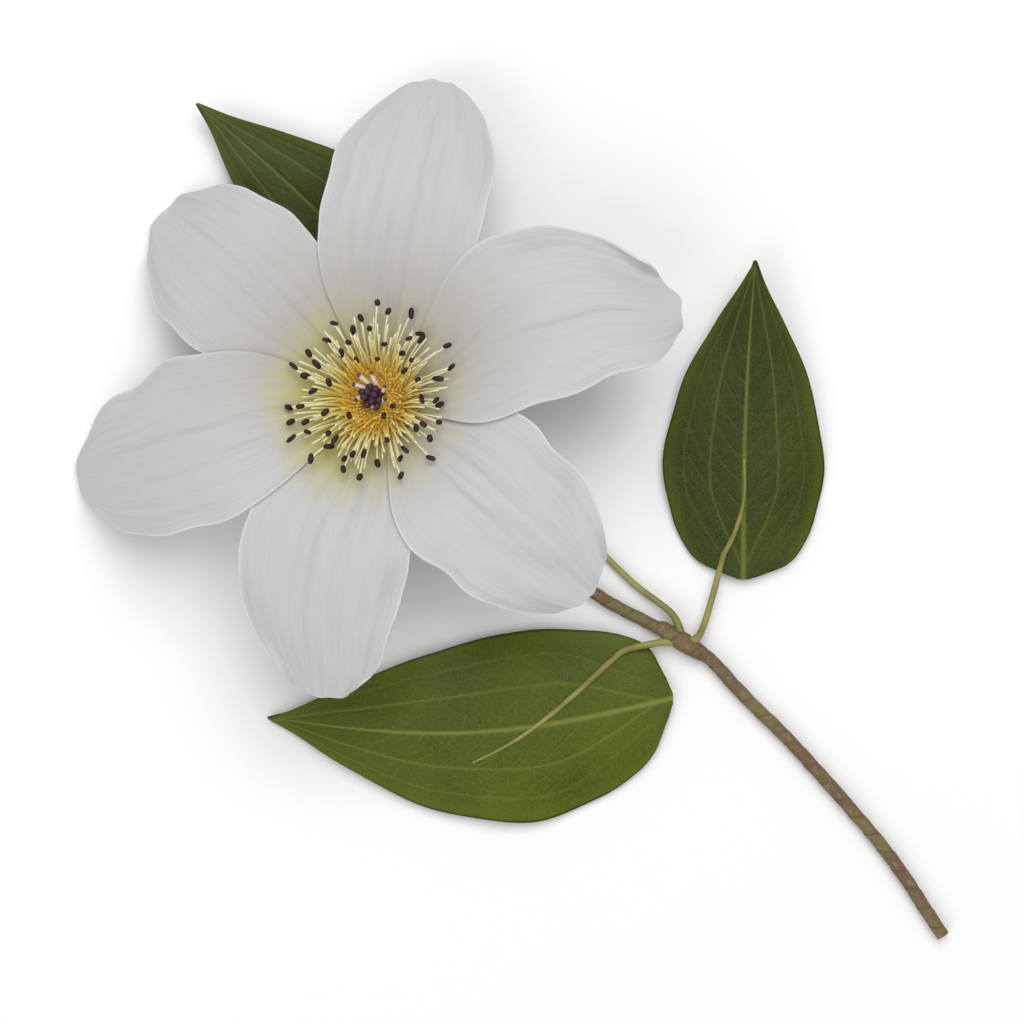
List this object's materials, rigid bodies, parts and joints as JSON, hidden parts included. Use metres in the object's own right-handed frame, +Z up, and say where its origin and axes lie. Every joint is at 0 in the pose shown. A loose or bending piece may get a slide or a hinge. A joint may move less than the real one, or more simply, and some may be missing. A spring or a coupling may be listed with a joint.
{
  "type": "clematis flower",
  "caption": "White clematis flower with a gold and black stamen centre, picked with its stalk and leaves, lying face up on a surface.",
  "frame": {"origin": "bottom centre of the whole flower's box, on the surface that it lies on", "axes": "+Z up from the surface, through the open face of the bloom; +Y from the leaf joint's side towards the top petal; +X from the bloom towards the cut end of the stalk"},
  "size_m": [0.1454, 0.1424, 0.0291],
  "materials": {
    "petal_white": "soft matt white with fine ridges, yellow-green towards the centre",
    "receptacle_gold": "matt golden ochre, ribbed",
    "stamen_cream": "satin cream, orange at the foot",
    "pistil_dark": "matt purple black",
    "collar_orange": "satin golden orange",
    "stalk_brown": "matt wrapped brown with olive",
    "leaf_green": "satin dark green with lighter veins, paler underneath",
    "leaf_stalk_green": "satin yellow green"
  },
  "bodies": {
    "root": {"petal_top": "petal_white", "petal_upper_right": "petal_white", "petal_lower_right": "petal_white", "petal_bottom": "petal_white", "petal_left": "petal_white", "petal_upper_left": "petal_white", "receptacle": "receptacle_gold", "stamens_outer": "stamen_cream", "stamens_middle": "stamen_cream", "stamens_inner": "stamen_cream", "pistil": "pistil_dark", "collar": "collar_orange", "upper_stalk": "stalk_brown", "lower_stalk": "stalk_brown", "node_knuckle": "stalk_brown", "leaf_lower": "leaf_green", "leaf_right": "leaf_green", "leaf_behind": "leaf_green", "leaf_stalk_lower": "leaf_stalk_green", "leaf_stalk_right": "leaf_stalk_green", "leaf_stalk_behind": "leaf_stalk_green"}
  },
  "joints": []
}
